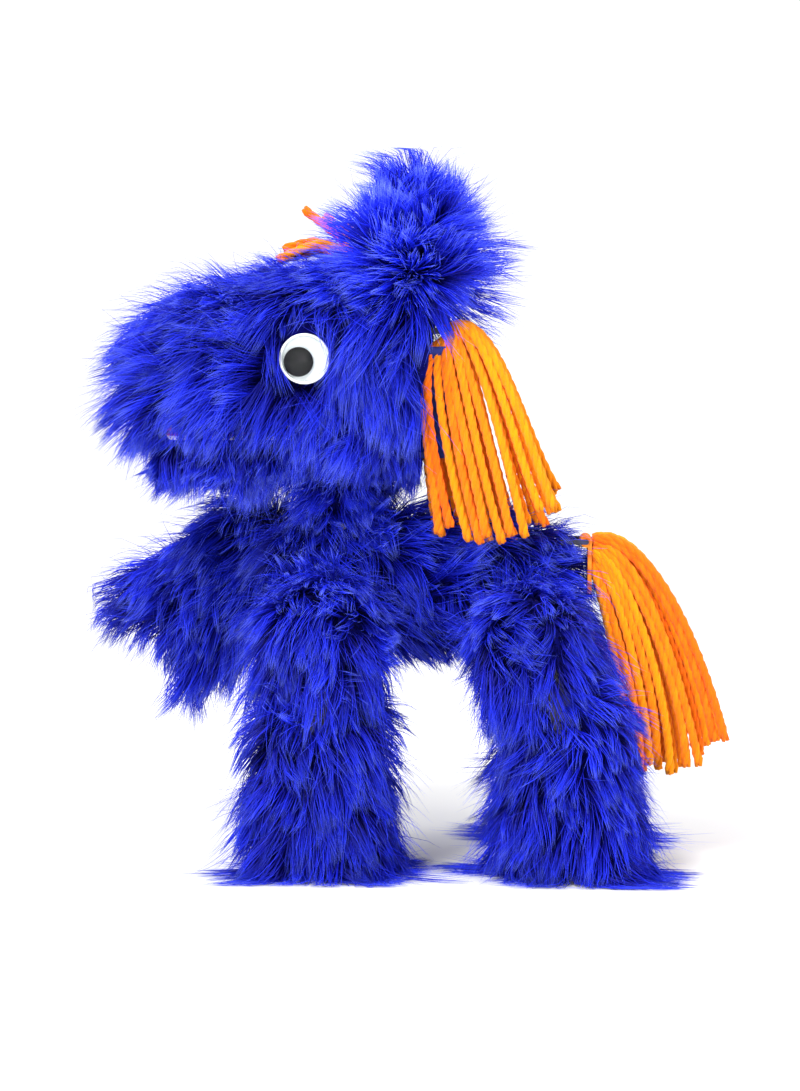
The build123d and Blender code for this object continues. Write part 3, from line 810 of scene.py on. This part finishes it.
def yarn_piece(name, paths, seed, body, stands_for):
    """All the yarns of one bunch as a single mesh of closed tubes."""
    rng = np.random.default_rng(seed)
    points, quads, triangles, tones, maps, base = [], [], [], [], [], 0
    for path in paths:
        tone = rng.uniform(0.3, 0.7)
        for rings, travelled in plied(path, rng.uniform(0, 2 * np.pi)):
            p, q, t = closed_rings(rings)
            around = rings.shape[1]
            winding = np.stack(np.meshgrid(np.arange(around) * 1.1, travelled), -1).reshape(-1, 2)
            points.append(p)
            quads.append(q + base)
            triangles.append(t + base)
            tones.append(np.full(len(p), tone + rng.uniform(-0.08, 0.08)))
            maps.append(np.concatenate([winding, [[0, travelled[0]], [0, travelled[-1]]]]))
            base += len(p)
    piece = mesh_piece(
        name, np.concatenate(points), np.concatenate(quads), np.concatenate(triangles), yarn,
        tone=np.concatenate(tones),
    )
    corner = np.empty(len(piece.data.loops), np.int32)
    piece.data.loops.foreach_get("vertex_index", corner)
    layer = piece.data.uv_layers.new(name="wound")
    layer.data.foreach_set("uv", np.concatenate(maps)[corner].astype(np.float32).ravel())
    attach(piece, body)
    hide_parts(*stands_for)
    return piece


def fanned(inner, outer, ends, depths, count, rng):
    """A sheet of yarns between an inner and an outer side-view curve, in layers at several depths.
    Each layer has count yarns, whose lowest points follow ends across the sheet."""
    share_ends, end_heights = np.array(ends).T
    paths = []
    for root_y, end_y in depths:
        for number in range(count):
            share = (number + rng.uniform(-0.3, 0.3)) / (count - 1)
            share = min(max(share, 0), 1)
            way = (1 - share) * np.array(inner, float) + share * np.array(outer, float)
            height = np.interp(share, share_ends, end_heights) + rng.normal(0, 3)
            shrink = (way[0, 1] - height) / (way[0, 1] - way[-1, 1])
            z = way[0, 1] + (way[:, 1] - way[0, 1]) * shrink
            t = np.linspace(0, 1, len(way))
            y = root_y + (end_y - root_y) * eased(t * 2.2) + rng.normal(0, 1.5) * t
            x = way[:, 0] + rng.normal(0, 2.2) * t ** 2
            wave = np.sin(t * rng.uniform(4, 8) + rng.uniform(0, 6)) * 1.1 * t
            paths.append(np.stack([x + wave, y + wave[::-1], z], -1))
    return paths


rng = np.random.default_rng(7)
tape_high = np.array(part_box("mane_binding")[1]) * 1000
mane_inner = [(tape_high[0] - 1, 262), (12, 256), (12, 238), (12, 212), (17, 188), (21, 167)]
mane_outer = [(tape_high[0] - 2, 270), (37, 267), (46, 254), (58, 228), (67, 202), (75, 181)]
mane_ends = [(0, 167), (0.45, 167), (0.6, 164), (0.8, 166), (0.92, 174), (1, 181)]
near = tape_high[1] - 3
mane_paths = [
    path for depth in ((-near, -44), (-near + 4, -31), (-8, -12), (8, 12), (near - 4, 31), (near, 44))
    for path in fanned(mane_inner, mane_outer, mane_ends, [depth], 10, rng)
]
yarn_piece("mane_strands", mane_paths, 71, "mane", ["mane_yarn"])

tape_high = np.array(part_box("tail_binding")[1]) * 1000
tail_inner = [(tape_high[0] + 1, 150), (98, 139), (104, 118), (109, 92), (112, 70), (113, 46)]
tail_outer = [(tape_high[0] + 1, 163), (112, 160), (128, 144), (142, 117), (153, 90), (161, 62)]
tail_ends = [(0, 49), (0.35, 47), (0.6, 49), (0.75, 53), (0.9, 64), (1, 66)]
tail_depths = ((-9, -19), (-4, -8), (4, 8), (9, 19))
tail_paths = fanned(tail_inner, tail_outer, tail_ends, tail_depths, 9, rng)
yarn_piece("tail_strands", tail_paths, 72, "tail", ["tail_yarn"])

lock_low, lock_high = np.array(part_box("forelock_yarn")) * 1000
forelock_paths = []
for number in range(10):
    across = -11 + 22 * (number % 5) / 4 + rng.normal(0, 1)
    root = np.array([lock_high[0] - 1 + rng.normal(0, 2), across * 0.7, 297.0])
    if number < 7:
        end = np.array([lock_low[0] + rng.uniform(1, 9), across * 1.15, rng.uniform(303, 312)])
        middle = (root + end) / 2 + [0, 0, rng.uniform(7, 11)]
    else:
        end = np.array([lock_high[0] - (6, 17, 28)[number - 7], across, (321, 327, 330)[number - 7]])
        middle = (root + end) / 2 + [4, 0, 3]
    forelock_paths.append(np.stack([root, (root + middle) / 2 + [0, 0, 3], middle, end]))
yarn_piece("forelock_strands", forelock_paths, 73, "head", ["forelock_yarn"])


# ---- Stage --------------------------------------------------------------------------------------
# A plain pale floor that runs up into its own backdrop, soft light from above and both sides, and
# a camera looking at the animal's left side from slightly ahead of it and a little above.
paper, _, paper_shader = new_finish("pale_backdrop_paper", Roughness=0.95)
paper_shader.inputs["Base Color"].default_value = linear("#f4f4f4")
along_count, across_count = 80, 20
run = np.interp(np.linspace(0, 1, along_count), [0, 0.45, 1], [-3000, 1500, 3200])
climb = 1800 * eased((run - 1500) / 1700) ** 1.2
width = np.linspace(-3500, 3500, across_count)
points = np.stack([
    np.repeat(width[None], along_count, 0), np.repeat(run[:, None], across_count, 1),
    np.repeat(climb[:, None], across_count, 1),
], -1).reshape(-1, 3)
a = np.arange(along_count * across_count).reshape(along_count, across_count)
sheet_quads = np.stack([a[:-1, :-1], a[:-1, 1:], a[1:, 1:], a[1:, :-1]], -1).reshape(-1, 4)
backdrop = mesh_piece("backdrop", points, sheet_quads, np.empty((0, 3), int), paper)

world = bpy.data.worlds.new("soft_daylight")
bpy.context.scene.world = world
world.use_nodes = True
world.node_tree.nodes["Background"].inputs["Color"].default_value = (1, 1, 1, 1)
world.node_tree.nodes["Background"].inputs["Strength"].default_value = 0.7
aim = np.array([-0.0025, 0.0, 0.159])


def soft_light(name, place, size, power):
    """A square area light that faces the animal."""
    data = bpy.data.lights.new(name, "AREA")
    data.size, data.energy = size, power
    light = bpy.data.objects.new(name, data)
    light.location = place
    light.rotation_euler = (Vector(aim) - light.location).to_track_quat("-Z", "Y").to_euler()
    bpy.context.scene.collection.objects.link(light)


soft_light("key", (-0.7, -1.2, 1.7), 0.7, 44)
soft_light("fill", (1.4, -1.2, 0.8), 1.2, 14)
soft_light("top", (0.1, 0.5, 1.8), 1.2, 12)
soft_light("low", (-0.3, -1.5, 0.25), 0.8, 13)

azimuth, elevation, distance = math.radians(2.5), math.radians(4), 1.39
camera_data = bpy.data.cameras.new("camera")
camera_data.lens = 90
camera = bpy.data.objects.new("camera", camera_data)
bpy.context.scene.collection.objects.link(camera)
back_off = np.array([
    math.sin(azimuth) * math.cos(elevation), -math.cos(azimuth) * math.cos(elevation), math.sin(elevation)
])
camera.location = aim + back_off * distance
camera.rotation_euler = Vector(-back_off).to_track_quat("-Z", "Y").to_euler()
bpy.context.scene.camera = camera
bpy.context.scene.view_settings.view_transform = "Standard"
